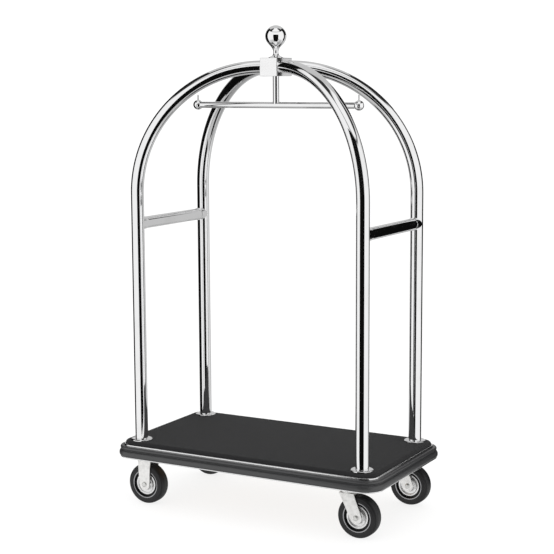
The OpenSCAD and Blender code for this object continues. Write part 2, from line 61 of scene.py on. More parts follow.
cameraSet = {
    "place": (2.673, -4.832, 1.692),
    "turn": 28.95,
    "dip": 7.97,
    "roll": -0.29,
    "lens": 91.86,
}


def addCamera():
    data = bpy.data.cameras.new("camera")
    data.lens = cameraSet["lens"]
    data.sensor_width = 36
    camera = bpy.data.objects.new("camera", data)
    aim = Euler((math.radians(90 - cameraSet["dip"]), 0, math.radians(cameraSet["turn"])))
    roll = Matrix.Rotation(math.radians(cameraSet["roll"]), 3, "Z")
    camera.matrix_world = Matrix.Translation(cameraSet["place"]) @ (aim.to_matrix() @ roll).to_4x4()
    scene.collection.objects.link(camera)
    scene.camera = camera
    print("camera placed")


class Wire:
    # a shader socket whose sums and products add Math nodes
    def __init__(self, recipe, socket):
        self.recipe = recipe
        self.socket = socket

    def mathNode(self, operation, first, second):
        return self.recipe.add("ShaderNodeMath", {"operation": operation}, {0: first, 1: second})

    def out(self, name):
        return Wire(self.recipe, self.socket.node.outputs[name])

    def __add__(self, other):
        return self.mathNode("ADD", self, other)

    def __radd__(self, other):
        return self.mathNode("ADD", other, self)

    def __rsub__(self, other):
        return self.mathNode("SUBTRACT", other, self)

    def __mul__(self, other):
        return self.mathNode("MULTIPLY", self, other)

    def __rmul__(self, other):
        return self.mathNode("MULTIPLY", other, self)

    def __pow__(self, other):
        return self.mathNode("POWER", self, other)


class Recipe:
    # one node tree, to which add() gives nodes
    def __init__(self, tree):
        self.tree = tree
        tree.nodes.clear()

    def add(self, kind, settings=None, sockets=None):
        node = self.tree.nodes.new(kind)
        for name, value in (settings or {}).items():
            setattr(node, name, value)
        for key, value in (sockets or {}).items():
            if isinstance(value, Wire):
                self.tree.links.new(value.socket, node.inputs[key])
            else:
                node.inputs[key].default_value = value
        return Wire(self, node.outputs[0]) if node.outputs else node

    def noise(self, place, scale, detail=3.0, roughness=0.55):
        return self.add("ShaderNodeTexNoise", {}, {
            "Vector": place, "Scale": scale, "Detail": detail, "Roughness": roughness})

    def span(self, value, low, high, toLow=0.0, toHigh=1.0):
        return self.add("ShaderNodeMapRange", {"interpolation_type": "SMOOTHSTEP"}, {
            "Value": value, "From Min": low, "From Max": high,
            "To Min": toLow, "To Max": toHigh})

    def blendColours(self, factor, first, second):
        node = self.add("ShaderNodeMix", {"data_type": "RGBA"}, {0: factor, 6: first, 7: second})
        return Wire(self, node.socket.node.outputs[2])

    def bump(self, height, distance, strength=1.0):
        return self.add("ShaderNodeBump", {}, {
            "Height": height, "Distance": distance, "Strength": strength})

    def objectPlace(self, shift=(0, 0, 0), stretch=(1, 1, 1)):
        place = self.add("ShaderNodeTexCoord").out("Object")
        return self.add("ShaderNodeMapping", {}, {
            "Vector": place, "Location": shift, "Scale": stretch})


def newMaterial(name):
    material = bpy.data.materials.new(name)
    material.use_nodes = True
    return material, Recipe(material.node_tree)


def finishMaterial(recipe, sockets):
    shader = recipe.add("ShaderNodeBsdfPrincipled", {}, sockets)
    recipe.add("ShaderNodeOutputMaterial", {}, {"Surface": shader})


def polishedSteel(name, shade=0.87, gloss=0.035, smear=0.05):
    # mirror-polished steel: hand smears, hair-fine polishing marks, slight waviness
    material, recipe = newMaterial(name)
    place = recipe.objectPlace()
    smears = recipe.span(recipe.noise(place, 9, 5), 0.45, 0.75)
    marks = recipe.noise(recipe.objectPlace(stretch=(1, 1, 0.04)), 900, 2)
    wave = recipe.noise(place, 14, 1)
    tone = recipe.blendColours(
        smears, (shade, shade, shade * 1.005, 1), (shade * 0.95, shade * 0.95, shade * 0.95, 1))
    finishMaterial(recipe, {
        "Base Color": tone,
        "Metallic": 1.0,
        "Roughness": gloss + smear * smears + 0.015 * marks,
        "Normal": recipe.bump(wave + 0.04 * marks, 0.00015, 0.5)})
    return material


def zincPlate(name, shade=(0.86, 0.855, 0.84), gloss=0.3):
    # bright zinc: soft cloudy spangle and fine rolling lines
    material, recipe = newMaterial(name)
    place = recipe.objectPlace()
    cloud = recipe.noise(place, 60, 4)
    grain = recipe.noise(recipe.objectPlace(stretch=(1, 1, 0.15)), 1400, 2)
    tone = recipe.blendColours(
        recipe.span(cloud, 0.35, 0.7), (*shade, 1), tuple(c * 0.86 for c in shade) + (1,))
    finishMaterial(recipe, {
        "Base Color": tone,
        "Metallic": 0.85,
        "Roughness": gloss + 0.12 * cloud + 0.05 * grain,
        "Normal": recipe.bump(grain, 0.00004, 0.5)})
    return material


def pressedRim(name, centre, greyFrom, shade=0.8):
    # pressed steel disc with turned rings about the axle, and a greyer ring past greyFrom
    material, recipe = newMaterial(name)
    place = recipe.objectPlace(shift=tuple(-c for c in centre))
    parts = recipe.add("ShaderNodeSeparateXYZ", {}, {0: place})
    radius = (parts.out("X") ** 2 + parts.out("Z") ** 2) ** 0.5
    rings = recipe.add("ShaderNodeMath", {"operation": "SINE"}, {0: radius * 5200})
    cloud = recipe.noise(place, 80, 4)
    tone = recipe.blendColours(
        recipe.span(cloud, 0.4, 0.7), (shade, shade, shade, 1),
        (shade * 0.85, shade * 0.85, shade * 0.84, 1))
    ringTone = (shade * 0.45, shade * 0.45, shade * 0.46, 1)
    tone = recipe.blendColours(recipe.span(radius, *greyFrom), tone, ringTone)
    finishMaterial(recipe, {
        "Base Color": tone,
        "Metallic": 0.9,
        "Roughness": 0.2 + 0.14 * cloud + 0.03 * rings,
        "Normal": recipe.bump(rings, 0.00002, 0.6)})
    return material


def tyreRubber(name):
    material, recipe = newMaterial(name)
    place = recipe.objectPlace()
    cloud = recipe.noise(place, 45, 4)
    grain = recipe.noise(place, 2600, 2)
    tone = recipe.blendColours(cloud, (0.007, 0.007, 0.0075, 1), (0.015, 0.015, 0.0157, 1))
    finishMaterial(recipe, {
        "Base Color": tone,
        "Roughness": 0.36 + 0.16 * cloud,
        "Specular IOR Level": 0.34,
        "Normal": recipe.bump(grain, 0.00008, 0.5)})
    return material


def bumperRubber(name):
    # moulded rubber: fine skin grain and scuffs that lie along the strip
    material, recipe = newMaterial(name)
    place = recipe.objectPlace()
    cloud = recipe.noise(place, 20, 4)
    scuffs = recipe.span(recipe.noise(recipe.objectPlace(stretch=(1, 1, 14)), 60, 5), 0.55, 0.8)
    grain = recipe.noise(place, 2200, 2)
    tone = recipe.blendColours(
        cloud * 0.6 + 0.4 * scuffs, (0.028, 0.0285, 0.0297, 1), (0.044, 0.0445, 0.046, 1))
    finishMaterial(recipe, {
        "Base Color": tone,
        "Roughness": 0.3 + 0.08 * cloud + 0.08 * scuffs,
        "Specular IOR Level": 0.66,
        "Normal": recipe.bump(grain, 0.00006, 0.5)})
    return material


def cutPile(name):
    # short dense pile: tuft speckle, traffic shading, soft sheen
    material, recipe = newMaterial(name)
    place = recipe.objectPlace()
    tufts = recipe.add("ShaderNodeTexVoronoi", {}, {"Vector": place, "Scale": 420})
    fibre = recipe.noise(place, 1900, 3)
    lay = recipe.noise(recipe.objectPlace(stretch=(1, 1.6, 1)), 7, 3)
    shade = recipe.blendColours(
        recipe.span(fibre, 0.3, 0.72), (0.011, 0.011, 0.0117, 1), (0.029, 0.029, 0.030, 1))
    tone = recipe.blendColours(
        recipe.span(lay, 0.3, 0.75), shade, (0.019, 0.019, 0.0198, 1))
    finishMaterial(recipe, {
        "Base Color": tone,
        "Roughness": 0.93,
        "Specular IOR Level": 0.15,
        "Sheen Weight": 0.04,
        "Sheen Roughness": 0.5,
        "Normal": recipe.bump(tufts * 0.7 + fibre * 0.5, 0.0009, 0.8)})
    return material


def plywood(name):
    material, recipe = newMaterial(name)
    grain = recipe.noise(recipe.objectPlace(stretch=(1.5, 22, 60)), 6, 5)
    fleck = recipe.noise(recipe.objectPlace(stretch=(8, 160, 160)), 8, 2)
    tone = recipe.blendColours(
        recipe.span(grain, 0.3, 0.7), (0.55, 0.38, 0.21, 1), (0.36, 0.23, 0.12, 1))
    finishMaterial(recipe, {
        "Base Color": tone,
        "Roughness": 0.6 + 0.2 * fleck,
        "Normal": recipe.bump(grain + 0.4 * fleck, 0.0003, 0.6)})
    return material


def blackPaint(name, shade=0.022, gloss=0.38):
    # sprayed enamel with orange peel
    material, recipe = newMaterial(name)
    place = recipe.objectPlace()
    peel = recipe.noise(place, 420, 2)
    dust = recipe.span(recipe.noise(place, 16, 5), 0.5, 0.8)
    tone = recipe.blendColours(
        dust, (shade, shade, shade * 1.05, 1), (shade * 2.2, shade * 2.1, shade * 2, 1))
    finishMaterial(recipe, {
        "Base Color": tone,
        "Roughness": gloss + 0.25 * dust,
        "Normal": recipe.bump(peel, 0.0002, 0.35)})
    return material


finishes = {}


def makeFinishes():
    finishes["chrome"] = polishedSteel("polishedSteel")
    finishes["ball"] = polishedSteel("polishedBall", 0.9, 0.02, 0.02)
    finishes["block"] = polishedSteel("satinBlock", 0.92, 0.12, 0.06)
    finishes["trim"] = polishedSteel("trimSteel", 0.85, 0.14, 0.08)
    finishes["plain"] = polishedSteel("plainSteel", 0.62, 0.26, 0.12)
    finishes["zinc"] = zincPlate("zincPlate")
    finishes["fastener"] = zincPlate("zincFastener", (0.72, 0.72, 0.7), 0.26)
    finishes["tyre"] = tyreRubber("tyreRubber")
    finishes["bumper"] = bumperRubber("bumperRubber")
    finishes["carpet"] = cutPile("carpetPile")
    finishes["plywood"] = plywood("plywood")
    finishes["paint"] = blackPaint("framePaint")
    finishes["oxide"] = blackPaint("blackOxide", 0.03, 0.45)
    print("finishes made:", len(finishes))


def addPiece(name, bm, finish, body, nodes, sharp=35):
    bmesh.ops.remove_doubles(bm, verts=bm.verts, dist=mergeGap)
    bmesh.ops.recalc_face_normals(bm, faces=bm.faces)
    limit = math.radians(sharp)
    for face in bm.faces:
        face.smooth = True
    for edge in bm.edges:
        edge.smooth = edge.calc_face_angle(0) < limit
    mesh = bpy.data.meshes.new(name)
    bm.to_mesh(mesh)
    bm.free()
    mesh.materials.append(finishes[finish] if isinstance(finish, str) else finish)
    piece = bpy.data.objects.new(name, mesh)
    scene.collection.objects.link(piece)
    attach(piece, body)
    if nodes:
        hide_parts(*nodes)
    return piece


def drawLoop(bm, points, closed=True):
    verts = [bm.verts.new(point) for point in points]
    pairs = list(zip(verts, verts[1:] + (verts[:1] if closed else [])))
    return [bm.edges.new(pair) for pair in pairs]


def arc(centre, radius, start, end, steps=6):
    # points of a round stretch in a section, angles in degrees
    angles = [math.radians(start + (end - start) * i / steps) for i in range(steps + 1)]
    return [(centre[0] + radius * math.cos(a), centre[1] + radius * math.sin(a)) for a in angles]


def newest(result):
    verts = set(v for v in result if isinstance(v, bmesh.types.BMVert))
    edges = [e for e in result if isinstance(e, bmesh.types.BMEdge) and set(e.verts) <= verts]
    return list(verts), edges


def pull(bm, edges, move):
    verts, edges = newest(bmesh.ops.extrude_edge_only(bm, edges=edges)["geom"])
    bmesh.ops.translate(bm, verts=verts, vec=move)
    return edges


def turnRound(bm, edges, centre, axis, angle, steps):
    verts = list(set(v for e in edges for v in e.verts))
    result = bmesh.ops.spin(
        bm, geom=verts + edges, cent=centre, axis=axis, dvec=(0, 0, 0),
        angle=angle, steps=steps, use_merge=False, use_duplicate=False)
    return newest(result["geom_last"])[1]


def latheInto(bm, section, place, steps=64, closed=False):
    # turns a section of (radius, height) points about the local Z axis
    old = set(bm.verts)
    edges = drawLoop(bm, [(r, 0, z) for r, z in section], closed)
    verts = list(set(v for e in edges for v in e.verts))
    bmesh.ops.spin(
        bm, geom=verts + edges, cent=(0, 0, 0), axis=(0, 0, 1), dvec=(0, 0, 0),
        angle=math.tau, steps=steps, use_merge=True, use_duplicate=False)
    fresh = [v for v in bm.verts if v not in old]
    bmesh.ops.remove_doubles(bm, verts=fresh, dist=mergeGap)
    fresh = [v for v in bm.verts if v not in old]
    bmesh.ops.transform(bm, matrix=place, verts=fresh)


def standing(x, y, z):
    return Matrix.Translation((x, y, z))


def lyingOnY(x, y, z):
    # local +Z points to -Y, the front
    return Matrix.Translation((x, y, z)) @ Matrix.Rotation(math.radians(90), 4, "X")


def lyingOnX(x, y, z):
    return Matrix.Translation((x, y, z)) @ Matrix.Rotation(math.radians(90), 4, "Y")


deckShape = {
    "cornerRadius": 0.050,
    "cornerSteps": 18,
    "rollRadius": 0.013,
    "rollSteps": 6,
    "pileCell": 0.005,
    "seatGap": 0.0005,
    "seatDraw": 0.75,   # share of a cell from which points are drawn to a seat's edge
    "seatKeep": 0.2,    # share of that reach that stays inside a seat's edge
    "tuftSize": 0.012,
    "tuftDepth": 3,
    "layStrength": 0.0010,
    "layMiddle": 0.75,
}


def sweepRoundDeck(section):
    # sweeps a closed section of (outwards, height) points round the deck's edge
    half = extent("deck_carpet") / 2
    radius = deckShape["cornerRadius"]
    bm = bmesh.new()
    edges = drawLoop(bm, [(radius - half.x, half.y + out, z) for out, z in section])
    heading = Vector((1, 0, 0))
    corner = Vector((half.x - radius, half.y - radius, 0))
    for quarter in range(4):
        length = 2 * (half.x if quarter % 2 == 0 else half.y) - 2 * radius
        edges = pull(bm, edges, heading * length)
        edges = turnRound(
            bm, edges, corner, (0, 0, -1), math.radians(90), deckShape["cornerSteps"])
        heading = Vector((heading.y, -heading.x, 0))
        corner += heading * (2 * (half.y if quarter % 2 == 0 else half.x) - 2 * radius)
    return bm


def outwardsAt(point, core):
    # direction from the nearest point of the deck's core rectangle
    near = Vector((max(-core.x, min(core.x, point.x)), max(-core.y, min(core.y, point.y)), 0))
    return (Vector((point.x, point.y, 0)) - near).normalized()


def roundCorner(vert, core, radius):
    # bends a square corner of the grid into a quarter disc
    over = Vector((abs(vert.co.x) - core.x, abs(vert.co.y) - core.y))
    if over.x > 0 and over.y > 0:
        bent = over.normalized() * max(over)
        vert.co.x = math.copysign(core.x + bent.x, vert.co.x)
        vert.co.y = math.copysign(core.y + bent.y, vert.co.y)


def cutSeat(bm, centre, radius, depth):
    # opens the carpet for a flange: its cells are drawn to the circle, then cut
    reach = deckShape["pileCell"] * deckShape["seatDraw"]
    for vert in bm.verts:
        away = vert.co - centre
        away.z = 0
        if abs(away.length - radius) < reach:
            vert.co += away.normalized() * (radius - away.length)
    within = radius - reach * deckShape["seatKeep"]
    inside = [f for f in bm.faces if (f.calc_center_median() - centre).xy.length < within]
    bmesh.ops.delete(bm, geom=inside, context="FACES")
    rim = [e for e in bm.edges if e.is_boundary
           and (e.verts[0].co - centre).xy.length < radius + reach]
    pull(bm, rim, (0, 0, -depth))


def declareCarpet(low, high):
    # works out the flat size: the top, the roll and the upright side, with round corners, less the
    # four seats, and prints the cut
    half = (high - low) / 2
    roll = deckShape["rollRadius"]
    wrap = math.pi / 2 * roll + high.z - low.z - roll
    cut = (2 * (half.x - roll + wrap), 2 * (half.y - roll + wrap))
    corner = deckShape["cornerRadius"] - roll + wrap
    seats = 4 * math.pi * (extent("post_flange_front_left").x / 2 + deckShape["seatGap"]) ** 2
    cut[0] * cut[1] - (4 - math.pi) * corner ** 2 - seats
    print("carpet cut to", [round(side, 4) for side in cut])


def addCarpet():
    low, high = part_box("deck_carpet")
    half = (high - low) / 2
    roll = deckShape["rollRadius"]
    radius = deckShape["cornerRadius"] - roll
    core = Vector((half.x - deckShape["cornerRadius"], half.y - deckShape["cornerRadius"], 0))
    bm = bmesh.new()
    bmesh.ops.create_grid(
        bm, x_segments=round(2 * (half.x - roll) / deckShape["pileCell"]),
        y_segments=round(2 * (half.y - roll) / deckShape["pileCell"]), size=1)
    bmesh.ops.scale(bm, vec=(half.x - roll, half.y - roll, 1), verts=bm.verts)
    bmesh.ops.translate(bm, vec=(0, 0, high.z), verts=bm.verts)
    for vert in bm.verts:
        roundCorner(vert, core, radius)
    edges = [e for e in bm.edges if e.is_boundary]
    for step in range(deckShape["rollSteps"]):
        before = math.radians(90 * step / deckShape["rollSteps"])
        after = math.radians(90 * (step + 1) / deckShape["rollSteps"])
        out = roll * (math.sin(after) - math.sin(before))
        down = roll * (math.cos(before) - math.cos(after))
        edges = pull(bm, edges, (0, 0, -down))
        for vert in set(v for e in edges for v in e.verts):
            vert.co += outwardsAt(vert.co, core) * out
    pull(bm, edges, (0, 0, low.z - high.z + roll))
    for row in rows:
        for side in sides:
            flange = f"post_flange_{row}_{side}"
            cutSeat(bm, middle(flange), extent(flange).x / 2 + deckShape["seatGap"], high.z - low.z)
    piece = addPiece("carpet", bm, "carpet", "cart", ["deck_carpet"])
    declareCarpet(low, high)
    tuft = bpy.data.textures.new("pileTufts", "CLOUDS")
    tuft.noise_scale = deckShape["tuftSize"]
    tuft.noise_depth = deckShape["tuftDepth"]
    lay = piece.modifiers.new("lay", "DISPLACE")
    lay.texture = tuft
    lay.texture_coords = "LOCAL"
    lay.strength = deckShape["layStrength"]
    lay.mid_level = deckShape["layMiddle"]
    print("carpet laid")


bumperShape = {
    "backSet": 0.002,
    "lipBack": 0.005,
    "lipHeight": 0.014,
    "lipRound": 0.0055,
    "bandRound": 0.0125,
    "beadRadius": 0.0016,
    "beadBack": 0.0073,
    "seamGap": 0.001,
    "bandFoot": 0.8,    # share of the band's radius at which its lower round starts
    "lipSteps": 7,
    "beadSteps": 5,
    "bandSteps": 9,
}


def addBumper():
    low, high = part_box("bumper")
    out = high.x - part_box("deck_carpet")[1].x
    mid = high.z - bumperShape["lipHeight"]
    lipOut = out - bumperShape["lipBack"]
    lipRound = bumperShape["lipRound"]
    band = bumperShape["bandRound"]
    bead = bumperShape["beadRadius"]
    seam = bumperShape["seamGap"]
    lipSteps = bumperShape["lipSteps"]
    bandSteps = bumperShape["bandSteps"]
    section = (
        [(-bumperShape["backSet"], high.z)]
        + arc((lipOut - lipRound, high.z - lipRound), lipRound, 90, 0, lipSteps)
        + arc((lipOut - lipRound, mid + seam + lipRound), lipRound, 0, -80, lipSteps)
        + arc((out - bumperShape["beadBack"], mid), bead, 70, -70, bumperShape["beadSteps"])
        + arc((out - band, mid - seam - band), band, 80, 0, bandSteps)
        + arc((out - band, low.z + band * bumperShape["bandFoot"]), band, 0, -60, bandSteps)
        + [(out - band, low.z), (-bumperShape["backSet"], low.z)]
    )
    addPiece("bumper_moulding", sweepRoundDeck(section), "bumper", "cart",
             ["bumper"])
    print("bumper moulded")


trimShape = {
    "innerRound": 0.0012,
    "outerRound": 0.0028,
    "stripStart": 0.002,
    "stripRound": 0.45,  # share of the lower strip's thickness
}


def addEdgeTrims():
    low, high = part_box("edge_trim_top")
    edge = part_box("deck_carpet")[1].x
    width = high.x - edge
    inside = trimShape["innerRound"]
    outside = trimShape["outerRound"]
    top = (
        [(0, low.z)]
        + arc((inside, high.z - inside), inside, 180, 90, 3)
        + arc((width - outside, high.z - outside), outside, 90, 0, 7)
        + [(width, low.z)]
    )
    addPiece("trim_top", sweepRoundDeck(top), "trim", "cart", ["edge_trim_top"])
    low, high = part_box("edge_trim_bottom")
    start = trimShape["stripStart"]
    width = high.x - edge
    soft = (high.z - low.z) * trimShape["stripRound"]
    bottom = (
        [(start, high.z), (width, high.z)]
        + arc((width - soft, low.z + soft), soft, 0, -90, 5)
        + [(start, low.z)]
    )
    addPiece("trim_bottom", sweepRoundDeck(bottom), "trim", "cart",
             ["edge_trim_bottom"])
    print("edge trims fitted")


postShape = {
    "tubeSteps": 64,
    "bendSteps": 56,
    "stub": 0.010,
    "socket": 0.013,
    "entryGap": 0.0305,
}


def postRadius():
    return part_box("post_front_right")[1].x - middle("post_flange_front_right").x


def addPost(row, side):
    name = f"post_{row}_{side}"
    foot = middle(f"post_flange_{row}_{side}")
    foot.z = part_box(name)[0].z
    crown = middle("crown_hub").z
    entry = Vector((
        sides[side] * extent("crown_hub").x / 2, rows[row] * postShape["entryGap"], foot.z))
    run = entry - foot
    bend = run.length - postShape["stub"]
    towards = run.normalized()
    bm = bmesh.new()
    circle = bmesh.ops.create_circle(
        bm, cap_ends=True, segments=postShape["tubeSteps"], radius=postRadius())
    bmesh.ops.translate(bm, verts=circle["verts"], vec=foot)
    edges = pull(bm, list(bm.edges), (0, 0, crown - bend - foot.z))
    centre = foot + towards * bend
    centre.z = crown - bend
    edges = turnRound(
        bm, edges, centre, upAxis.cross(towards), math.radians(90), postShape["bendSteps"])
    edges = pull(bm, edges, towards * (postShape["stub"] + postShape["socket"]))
    bmesh.ops.holes_fill(bm, edges=edges)
    addPiece(f"tube_{row}_{side}", bm, "chrome", "cart", [name])


flangeShape = {
    "rimBack": 0.0045,
    "landRadius": 0.0055,
    "boreRound": 0.0012,
    "domeSteps": 14,
    "turnSteps": 72,
}


def addFlange(row, side):
    name = f"post_flange_{row}_{side}"
    low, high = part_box(name)
    centre = middle(name)
    bore = postRadius()
    outer = (high.x - low.x) / 2
    height = high.z - low.z
    rim = height - flangeShape["rimBack"]
    land = bore + flangeShape["landRadius"]
    dome = [
        (land + (outer - land) * math.cos(math.radians(90 * i / flangeShape["domeSteps"])),
         rim + (height - rim) * math.sin(math.radians(90 * i / flangeShape["domeSteps"])))
        for i in range(flangeShape["domeSteps"] + 1)]
    soft = flangeShape["boreRound"]
    section = [(bore, 0), (outer, 0)] + dome + arc((bore + soft, height - soft), soft, 90, 180, 3)
    bm = bmesh.new()
    latheInto(bm, section, standing(centre.x, centre.y, low.z), flangeShape["turnSteps"],
              closed=True)
    addPiece(f"flange_{row}_{side}", bm, "chrome", "cart", [name])


railShape = {"turnSteps": 64, "copeBand": 0.001}


def cope(verts):
    # draws the end of a rail on to the round of the post that it meets
    radius = postRadius()
    post = middle("post_flange_front_right")
    reach = -post.y - railShape["copeBand"]
    for vert in verts:
        off = abs(vert.co.x) - post.x
        face = -post.y - math.sqrt(max(radius ** 2 - off ** 2, 0))
        if abs(vert.co.y) > reach:
            vert.co.y = math.copysign(face, vert.co.y)


def addRail(side):
    name = f"side_rail_{side}"
    centre = middle(name)
    radius = extent(name).z / 2
    half = -middle("post_flange_front_right").y
    bm = bmesh.new()
    latheInto(bm, [(radius, -half), (radius, half)], lyingOnY(*centre), railShape["turnSteps"])
    ends = [e for e in bm.edges if e.is_boundary]
    cope(bm.verts)
    bmesh.ops.holes_fill(bm, edges=ends)
    addPiece(f"rail_{side}", bm, "chrome", "cart", [name])


collarShape = {"length": 0.020, "edgeRound": 0.0008}


def addCollars():
    height = middle("side_rail_collars").z
    outer = extent("side_rail_collars").z / 2
    inner = extent("side_rail_left").z / 2
    post = middle("post_flange_front_right")
    end = -post.y - postRadius() - collarShape["length"]
    soft = collarShape["edgeRound"]
    bm = bmesh.new()
    for side in sides.values():
        for row in rows.values():
            section = (
                [(inner, -post.y), (inner, end)]
                + arc((outer - soft, end + soft), soft, -90, 0, 4)
                + [(outer, -post.y)]
            )
            place = Matrix.Translation((side * post.x, 0, height)) @ Matrix.Rotation(
                math.radians(-90 * row), 4, "X")
            latheInto(bm, section, place, railShape["turnSteps"], closed=True)
    cope(bm.verts)
    addPiece("rail_collars", bm, "chrome", "cart", ["side_rail_collars"])


crownShape = {
    "edgeRound": 0.0022,
    "edgeSteps": 4,
    "footHeight": 0.002,
    "footRound": 0.0006,
    "footCurve": 3.2,   # how sharply the neck flares to its foot
    "cupCurve": 1.9,    # how sharply it flares to the ball's cup
    "cupSink": 0.004,
    "waistShare": 0.42,
    "waist": 0.010,
    "rimLand": 0.0008,
    "cupShare": 0.63,
    "neckSteps": 40,
    "neckTurnSteps": 72,
    "ballSegments": 96,
    "ballRings": 56,
}


def addCrownBlock():
    size = extent("crown_hub")
    bm = bmesh.new()
    bmesh.ops.create_cube(bm, size=1)
    bmesh.ops.scale(bm, vec=size, verts=bm.verts)
    bmesh.ops.bevel(
        bm, geom=bm.edges[:], offset=crownShape["edgeRound"], offset_type="OFFSET",
        segments=crownShape["edgeSteps"], profile=0.5, affect="EDGES", material=-1)
    bmesh.ops.translate(bm, vec=middle("crown_hub"), verts=bm.verts)
    addPiece("crown_block", bm, "block", "cart", ["crown_hub"], sharp=60)


def neckRadius(share, foot, rim):
    waist = crownShape["waist"]
    turn = crownShape["waistShare"]
    if share < turn:
        return waist + (foot - waist) * (1 - share / turn) ** crownShape["footCurve"]
    return waist + (rim - waist) * ((share - turn) / (1 - turn)) ** crownShape["cupCurve"]


def addFinial():
    low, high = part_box("finial_neck")
    ball = extent("finial_ball").x / 2
    foot = (high.x - low.x) / 2
    rim = ball * crownShape["cupShare"] + crownShape["rimLand"]
    height = high.z - low.z
    start = crownShape["footHeight"]
    soft = crownShape["footRound"]
    section = [(0, 0), (foot - soft, 0)] + arc((foot - soft, soft), soft, -90, 0, 3)
    for i in range(crownShape["neckSteps"] + 1):
        share = i / crownShape["neckSteps"]
        section.append((neckRadius(share, foot, rim), start + (height - start) * share))
    section.append((0, height - crownShape["cupSink"]))
    bm = bmesh.new()
    latheInto(bm, section, standing(0, 0, low.z), crownShape["neckTurnSteps"])
    addPiece("finial_stem", bm, "ball", "cart", ["finial_neck"])
    bm = bmesh.new()
    bmesh.ops.create_uvsphere(
        bm, u_segments=crownShape["ballSegments"], v_segments=crownShape["ballRings"],
        radius=ball, matrix=Matrix.Translation(middle("finial_ball")))
    addPiece("finial_globe", bm, "ball", "cart", ["finial_ball"])


barShape = {
    "turnSteps": 48,
    "ballSegments": 64,
    "ballRings": 36,
    "pinRound": 0.0018,
    "pinTurnSteps": 24,
}


def addHangingBar():
    bar = middle("hang_bar")
    radius = extent("hang_bar").z / 2
    half = extent("hang_bar").x / 2
    low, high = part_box("drop_rod")
    foot = bar.z - low.z
    top = high.z - low.z
    bm = bmesh.new()
    latheInto(bm, [(0, foot), (radius, foot), (radius, top), (0, top)],
              standing(0, 0, low.z), barShape["turnSteps"])
    addPiece("hanger_rod", bm, "chrome", "cart", ["drop_rod"])
    bm = bmesh.new()
    latheInto(bm, [(0, -half), (radius, -half), (radius, half), (0, half)],
              lyingOnX(*bar), barShape["turnSteps"])
    addPiece("hanger_bar", bm, "chrome", "cart", ["hang_bar"])
    ball = extent("hang_bar_end_balls").z / 2
    pinLow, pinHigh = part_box("hang_bar_pins")
    pin = (pinHigh.y - pinLow.y) / 2
    rise = pinHigh.z - pinLow.z
    soft = barShape["pinRound"]
    section = [(0, 0), (pin, 0)] + arc((pin - soft, rise - soft), soft, 0, 90, 4) + [(0, rise)]
    balls = bmesh.new()
    pins = bmesh.new()
    for side in sides.values():
        bmesh.ops.create_uvsphere(
            balls, u_segments=barShape["ballSegments"], v_segments=barShape["ballRings"],
            radius=ball, matrix=Matrix.Translation((side * half, 0, bar.z)))
        latheInto(pins, section, standing(side * half, 0, pinLow.z), barShape["pinTurnSteps"])
    addPiece("hanger_balls", balls, "ball", "cart", ["hang_bar_end_balls"])
    addPiece("hanger_pins", pins, "chrome", "cart", ["hang_bar_pins"])


tyreShape = {
    "squareness": 0.5,
    "sectionSteps": 36,
    "ribEvery": 6,
    "ribAt": 3,
    "ribDepth": 0.0011,
    "ribFade": 1.4,
    "turnSteps": 96,
}


def addTyre(row, side, place):
    node = f"tyre_{row}_{side}"
    outer = extent(node).z / 2
    inner = extent(f"rim_{row}_{side}").z / 2
    half = extent(node).y / 2
    section = []
    for i in range(tyreShape["sectionSteps"] + 1):
        turn = math.radians(-90 + 180 * i / tyreShape["sectionSteps"])
        height = max(math.cos(turn), 0) ** tyreShape["squareness"]
        across = math.copysign(abs(math.sin(turn)) ** tyreShape["squareness"], turn)
        rib = tyreShape["ribDepth"] if i % tyreShape["ribEvery"] == tyreShape["ribAt"] else 0
        section.append((
            inner + (outer - inner) * height - rib * min(1, height * tyreShape["ribFade"]),
            across * (half - rib)))
    bm = bmesh.new()
    latheInto(bm, section, place, tyreShape["turnSteps"], closed=True)
    addPiece(f"rubber_{row}_{side}", bm, "tyre", f"wheel_{row}_{side}", [node], sharp=50)


rimShape = {
    "seatBack": 0.003,
    "fromBore": [(0, 0.003), (0.20, 0.003), (0.26, 0.0045), (0.33, 0.008), (0.40, 0.0092)],
    "fromEdge": [(0.40, 0.0092), (0.33, 0.0085), (0.26, 0.0058), (0.19, 0.0050),
                 (0.03, 0.0056), (0, 0.0075)],
    "grooveWidth": 0.009,
    "grooveDepth": 0.013,
    "grooveEdge": 0.0002,
    "ringWidth": 0.004,
    "ringRound": 0.0008,
    "greyFrom": (0.050, 0.052),
    "turnSteps": 96,
}


def bothFaces(half):
    # closes a section with its mirror image on the wheel's other face
    return half + [(radius, -height) for radius, height in reversed(half)]


def darkenGroove(mesh, centre, groove):
    # gives the faces in the groove between a wheel's disc and its ring the tyre's dark rubber
    # finish
    mesh.materials.append(finishes["tyre"])
    for face in mesh.polygons:
        reach = math.hypot(face.center.x - centre.x, face.center.z - centre.z)
        if groove[0] < reach < groove[1]:
            face.material_index = 1


